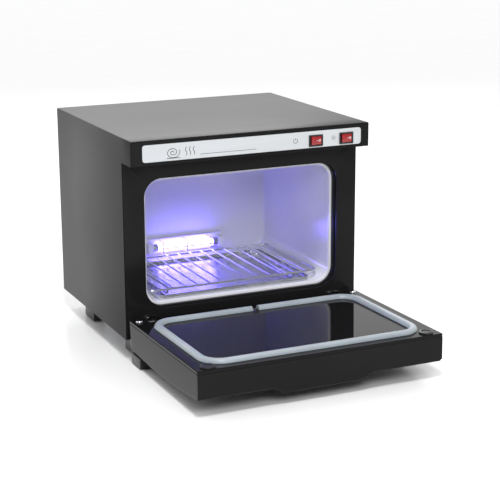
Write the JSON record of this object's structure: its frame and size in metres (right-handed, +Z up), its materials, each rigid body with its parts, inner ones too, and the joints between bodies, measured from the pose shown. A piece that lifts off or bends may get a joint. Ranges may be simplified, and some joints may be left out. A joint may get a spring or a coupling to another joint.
{
  "type": "hot towel cabinet",
  "caption": "Countertop cabinet that warms and UV-lights rolled towels, with a drop-down sealed door, wire rack, drip tray and rocker switches.",
  "frame": {"origin": "centre of the footprint on the table, with the door open as at rest", "axes": "+X to the right as seen from the front, +Y to the back, +Z up"},
  "size_m": [0.45, 0.6708, 0.3935],
  "materials": {
    "case_paint": "satin black powder coat",
    "front_gloss": "gloss black",
    "label_white": "glossy white",
    "door_gloss": "gloss black",
    "panel_gloss": "mirror-gloss black",
    "foam": "insulation foam",
    "seal_silicone": "satin silicone",
    "black_plastic": "satin moulded",
    "rocker_red": "glossy red",
    "hinge_metal": "bright plated",
    "steel": "bright",
    "liner_white": "glossy white enamel",
    "uv_glass": "violet fused glass",
    "wire_plated": "plated wire",
    "tray_steel": "satin",
    "zinc_sheet": "galvanised",
    "heater_aluminium": "plain",
    "grey_plastic": "moulded",
    "wire_sleeve": "matte",
    "brass": "plated"
  },
  "bodies": {
    "root": {"base_plate": "zinc_sheet", "case_wrap": "case_paint", "chamber_liner": "liner_white", "drip_tray": "tray_steel", "foot_front_left": "black_plastic", "foot_front_right": "black_plastic", "foot_rear_left": "black_plastic", "foot_rear_right": "black_plastic", "front_frame": "front_gloss", "harness_heater": "wire_sleeve", "harness_inlet": "wire_sleeve", "harness_lamp": "wire_sleeve", "harness_power_switch": "wire_sleeve", "harness_uv_switch": "wire_sleeve", "header_fascia": "front_gloss", "heater_plate": "heater_aluminium", "hinge_bracket_left": "hinge_metal", "hinge_bracket_right": "hinge_metal", "inlet_housing": "black_plastic", "inlet_pin_earth": "brass", "inlet_pin_line": "brass", "inlet_pin_neutral": "brass", "label_panel": "label_white", "liner_insulation": "foam", "mouth_trim": "liner_white", "power_switch_housing": "black_plastic", "rear_panel": "case_paint", "rear_screw_1": "steel", "rear_screw_2": "steel", "rear_screw_3": "steel", "rear_screw_4": "steel", "terminal_block": "grey_plastic", "thermal_fuse": "steel", "thermostat": "grey_plastic", "uv_ballast": "grey_plastic", "uv_lamp_base": "liner_white", "uv_lamp_cap_left": "steel", "uv_lamp_cap_right": "steel", "uv_lamp_guard": "wire_plated", "uv_lamp_tube": "uv_glass", "uv_socket_left": "liner_white", "uv_socket_right": "liner_white", "uv_switch_housing": "black_plastic", "wire_rack": "wire_plated"},
    "door": {"door_gasket": "seal_silicone", "door_inner_panel": "panel_gloss", "door_insulation": "foam", "door_magnet_left": "black_plastic", "door_magnet_right": "black_plastic", "door_outer_shell": "door_gloss", "hinge_clevis_left": "black_plastic", "hinge_clevis_right": "black_plastic", "hinge_pin_left": "steel", "hinge_pin_right": "steel", "hinge_screw_left": "hinge_metal", "hinge_screw_right": "hinge_metal"},
    "power_rocker": {"power_rocker": "rocker_red"},
    "uv_rocker": {"uv_rocker": "rocker_red"}
  },
  "joints": [
    {"name": "door_hinge", "type": "hinge", "parent": "root", "child": "door", "pos_m": [0, -0.04665, 0.0595], "axis": [-1, 0, 0], "range_deg": [0, 89.25]},
    {"name": "power_switch", "type": "hinge", "parent": "root", "child": "power_rocker", "pos_m": [0.1185, -0.06615, 0.369], "axis": [0, 0, -1], "range_deg": [0, 14]},
    {"name": "uv_switch", "type": "hinge", "parent": "root", "child": "uv_rocker", "pos_m": [0.1787, -0.06615, 0.369], "axis": [0, 0, -1], "range_deg": [0, 14]}
  ]
}
